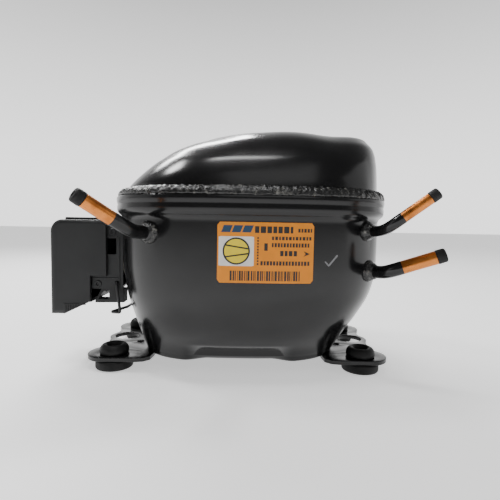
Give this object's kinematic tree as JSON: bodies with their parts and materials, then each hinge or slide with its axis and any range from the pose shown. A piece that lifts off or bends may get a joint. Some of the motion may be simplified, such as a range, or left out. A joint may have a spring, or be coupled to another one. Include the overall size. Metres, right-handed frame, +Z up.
{
  "type": "hermetic reciprocating compressor",
  "caption": "Black welded-shell refrigeration compressor with domed cover, side terminal box, copper tube stubs and rubber-footed base plates; pump, motor and springs inside.",
  "frame": {"origin": "centre of the bounding box in plan, at the underside of the rubber feet", "axes": "+X along the longest side towards the suction and discharge tubes, -Y the labelled front, +Z up"},
  "size_m": [0.2494, 0.1792, 0.1652],
  "materials": {
    "black_paint": "gloss",
    "painted_weld": "gloss over a rippled bead",
    "copper": "drawn copper",
    "black_rubber": "matte",
    "dark_plastic": "fine grained",
    "black_steel": "satin",
    "label_film": "printed film",
    "ceramic": "glazed",
    "bare_steel": "machined",
    "cast_iron": "as cast",
    "aluminium": "die cast",
    "enamelled_copper": "enamelled wire"
  },
  "bodies": {
    "shell": {"base_plate_left": "black_paint", "base_plate_right": "black_paint", "cord_clamp": "dark_plastic", "discharge_collar": "painted_weld", "discharge_loop": "copper", "discharge_tube": "copper", "earth_screw": "bare_steel", "grommet_left_front": "black_rubber", "grommet_left_rear": "black_rubber", "grommet_right_front": "black_rubber", "grommet_right_rear": "black_rubber", "lower_shell": "black_paint", "overload_protector": "dark_plastic", "process_collar": "painted_weld", "process_tube": "copper", "rating_label": "label_film", "spring_left_front": "bare_steel", "spring_left_rear": "bare_steel", "spring_peg_left_front": "dark_plastic", "spring_peg_left_rear": "dark_plastic", "spring_peg_right_front": "dark_plastic", "spring_peg_right_rear": "dark_plastic", "spring_right_front": "bare_steel", "spring_right_rear": "bare_steel", "starter_relay": "dark_plastic", "suction_collar": "painted_weld", "suction_tube": "copper", "terminal_fence": "black_steel", "terminal_header": "ceramic", "terminal_pin_1": "bare_steel", "terminal_pin_2": "bare_steel", "terminal_pin_3": "bare_steel", "upper_shell": "black_paint", "weld_seam": "painted_weld"},
    "pump_frame": {"crankcase": "cast_iron", "valve_plate": "bare_steel", "head_gasket": "dark_plastic", "cylinder_head": "aluminium", "head_bolt_1": "bare_steel", "head_bolt_2": "bare_steel", "head_bolt_3": "bare_steel", "head_bolt_4": "bare_steel", "stator": "bare_steel", "winding_upper": "enamelled_copper", "winding_lower": "enamelled_copper", "suction_muffler": "dark_plastic"},
    "crank": {"crankshaft": "bare_steel", "counterweight": "cast_iron", "rotor": "aluminium", "oil_pickup": "bare_steel"},
    "piston": {"piston": "cast_iron", "gudgeon_pin": "bare_steel"},
    "rod": {"connecting_rod": "aluminium"},
    "cover": {"terminal_cover": "dark_plastic"},
    "bail": {"bail_clip": "black_steel"},
    "process_plug": {"process_plug": "black_rubber"},
    "discharge_plug": {"discharge_plug": "black_rubber"},
    "suction_plug": {"suction_plug": "black_rubber"}
  },
  "joints": [
    {"name": "suspension_bounce", "type": "slide", "parent": "shell", "child": "pump_frame", "axis": [0, 0, 1], "range_m": [-0.002, 0.002], "stiffness_N_per_m": 15000, "springref_m": 0.00224, "deforming": ["spring_left_front", "spring_left_rear", "spring_right_front", "spring_right_rear", "discharge_loop"]},
    {"name": "crank_spin", "type": "hinge", "parent": "pump_frame", "child": "crank", "pos_m": [0.00372, 0.01496, 0.0995], "axis": [0, 0, 1], "continuous": true},
    {"name": "piston_stroke", "type": "slide", "parent": "pump_frame", "child": "piston", "axis": [1, 0, 0], "range_m": [-0.016, 0]},
    {"name": "rod_swing", "type": "hinge", "parent": "piston", "child": "rod", "pos_m": [0.04772, 0.01496, 0.1225], "axis": [0, 0, 1], "range_deg": [-12.8, 12.8]},
    {"name": "cover_pull", "type": "slide", "parent": "shell", "child": "cover", "axis": [-1, 0, 0], "range_m": [0, 0.06]},
    {"name": "bail_swing", "type": "hinge", "parent": "shell", "child": "bail", "pos_m": [-0.08028, 0.01496, 0.0575], "axis": [0, 1, 0], "range_deg": [0, 25]},
    {"name": "process_plug_pull", "type": "slide", "parent": "shell", "child": "process_plug", "axis": [-0.6455, -0.5565, 0.5231], "range_m": [0, 0.02]},
    {"name": "discharge_plug_pull", "type": "slide", "parent": "shell", "child": "discharge_plug", "axis": [0.7573, -0.2179, 0.6156], "range_m": [0, 0.02]},
    {"name": "suction_plug_pull", "type": "slide", "parent": "shell", "child": "suction_plug", "axis": [0.8869, -0.3006, 0.3508], "range_m": [0, 0.02]}
  ]
}
